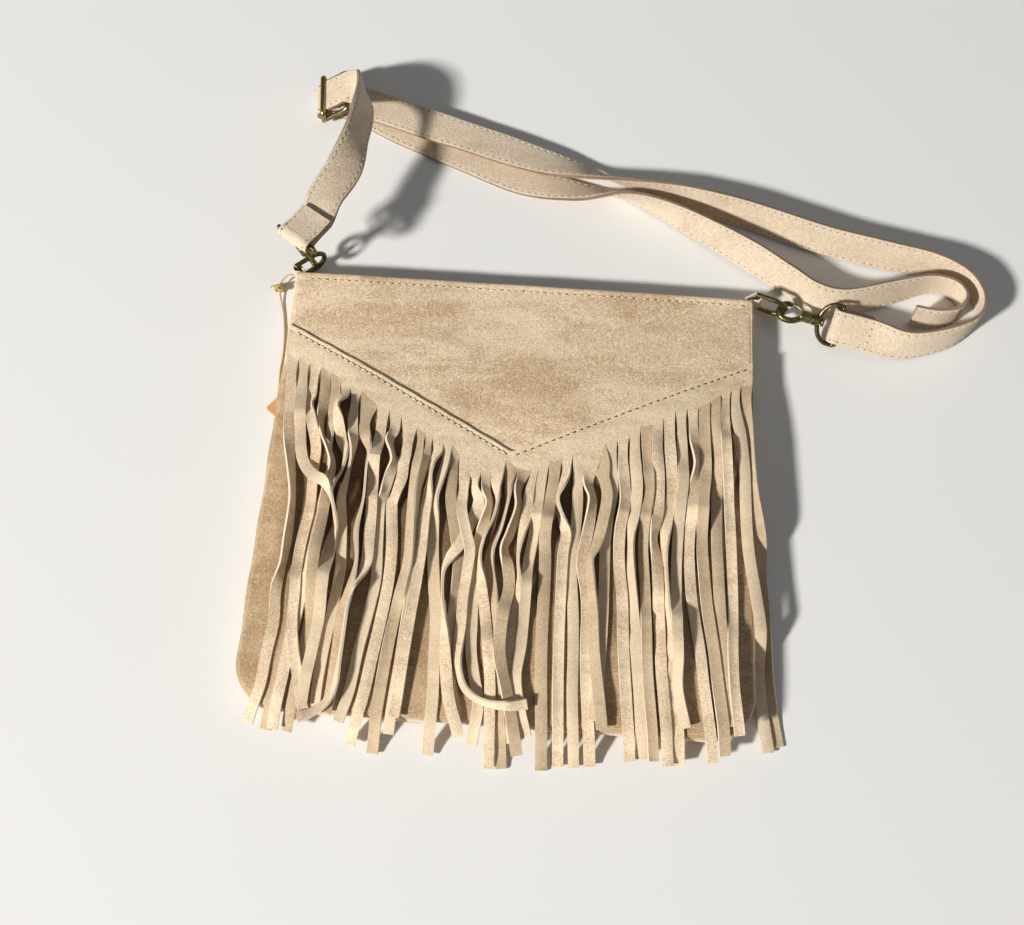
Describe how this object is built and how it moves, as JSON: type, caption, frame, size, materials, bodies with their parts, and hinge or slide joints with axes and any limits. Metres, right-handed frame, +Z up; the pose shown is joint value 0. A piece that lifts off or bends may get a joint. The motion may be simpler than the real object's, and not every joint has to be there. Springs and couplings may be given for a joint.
{
  "type": "fringed suede bag",
  "caption": "Flat suede shoulder bag with a V-topped layer of long fringe, a zip mouth and a clip-on adjustable strap.",
  "frame": {"origin": "on the back panel's flat rest face, under the point of the fringe's V seam", "axes": "+X across the bag to the right as its front is seen, +Y towards the mouth, +Z up out of the front; the bag lies on its back"},
  "size_m": [0.4018, 0.4038, 0.0522],
  "materials": {
    "body_suede": "sand suede, soft mottled nap",
    "fringe_suede": "sand suede with pale cut edges",
    "strap_suede": "pale suede, sewn along both edges",
    "zip_tape": "woven tape",
    "old_brass": "darkened antique brass",
    "tag_leather": "smooth tan leather",
    "waxed_cord": "thin waxed cord"
  },
  "bodies": {
    "bag": {"front_panel": "body_suede", "back_panel": "body_suede", "gusset": "body_suede", "fringe_panel": "fringe_suede", "zip_tape_front": "zip_tape", "zip_tape_back": "zip_tape", "zip_teeth_front": "old_brass", "zip_teeth_back": "old_brass", "zip_stop_left": "old_brass", "zip_stop_right": "old_brass", "ring_tab_left": "body_suede", "ring_tab_right": "body_suede", "eye_left": "old_brass", "eye_right": "old_brass", "strap_slider": "old_brass", "strap_long": "strap_suede", "strap_short": "strap_suede", "swing_tag": "tag_leather", "tag_cord": "waxed_cord", "cord_knot": "waxed_cord"},
    "ring_left": {"ring_left": "old_brass"},
    "ring_right": {"ring_right": "old_brass"},
    "hook_left": {"hook_left": "old_brass", "gate_pin_left": "old_brass"},
    "hook_right": {"hook_right": "old_brass", "gate_pin_right": "old_brass"},
    "gate_left": {"gate_left": "old_brass"},
    "gate_right": {"gate_right": "old_brass"},
    "zip_slider": {"zip_slider": "old_brass"},
    "zip_pull": {"zip_pull": "old_brass"}
  },
  "joints": [
    {"name": "ring_left_swing", "type": "hinge", "parent": "bag", "child": "ring_left", "pos_m": [-0.129, 0.103, 0.0102], "axis": [0, 0, 1], "range_deg": [-2, 2]},
    {"name": "ring_right_swing", "type": "hinge", "parent": "bag", "child": "ring_right", "pos_m": [0.131, 0.103, 0.0102], "axis": [0, 0, 1], "range_deg": [-1.5, 1.5]},
    {"name": "hook_left_swivel", "type": "hinge", "parent": "bag", "child": "hook_left", "pos_m": [-0.12565, 0.105, 0.04756], "axis": [0.1206, 0.1206, -0.9853], "range_deg": [-18, 18]},
    {"name": "hook_right_swivel", "type": "hinge", "parent": "bag", "child": "hook_right", "pos_m": [0.17705, 0.09029, 0.0102], "axis": [-0.9707, 0.2402, 0], "range_deg": [-20, 20]},
    {"name": "gate_left_open", "type": "hinge", "parent": "hook_left", "child": "gate_left", "pos_m": [-0.12208, 0.10576, 0.0286], "axis": [0.7686, 0.6168, 0.1696], "range_deg": [0, 35], "stiffness_Nm_per_rad": 0.004, "springref_deg": -17.19},
    {"name": "gate_right_open", "type": "hinge", "parent": "hook_right", "child": "gate_right", "pos_m": [0.15889, 0.09685, 0.0102], "axis": [0, 0, 1], "range_deg": [0, 35], "stiffness_Nm_per_rad": 0.004, "springref_deg": -17.19},
    {"name": "zip_travel", "type": "slide", "parent": "bag", "child": "zip_slider", "axis": [1, 0, 0], "range_m": [0, 0.19]},
    {"name": "zip_pull_flip", "type": "hinge", "parent": "zip_slider", "child": "zip_pull", "pos_m": [-0.0952, 0.0961, 0.0085], "axis": [0, 0, 1], "range_deg": [0, 165]}
  ]
}
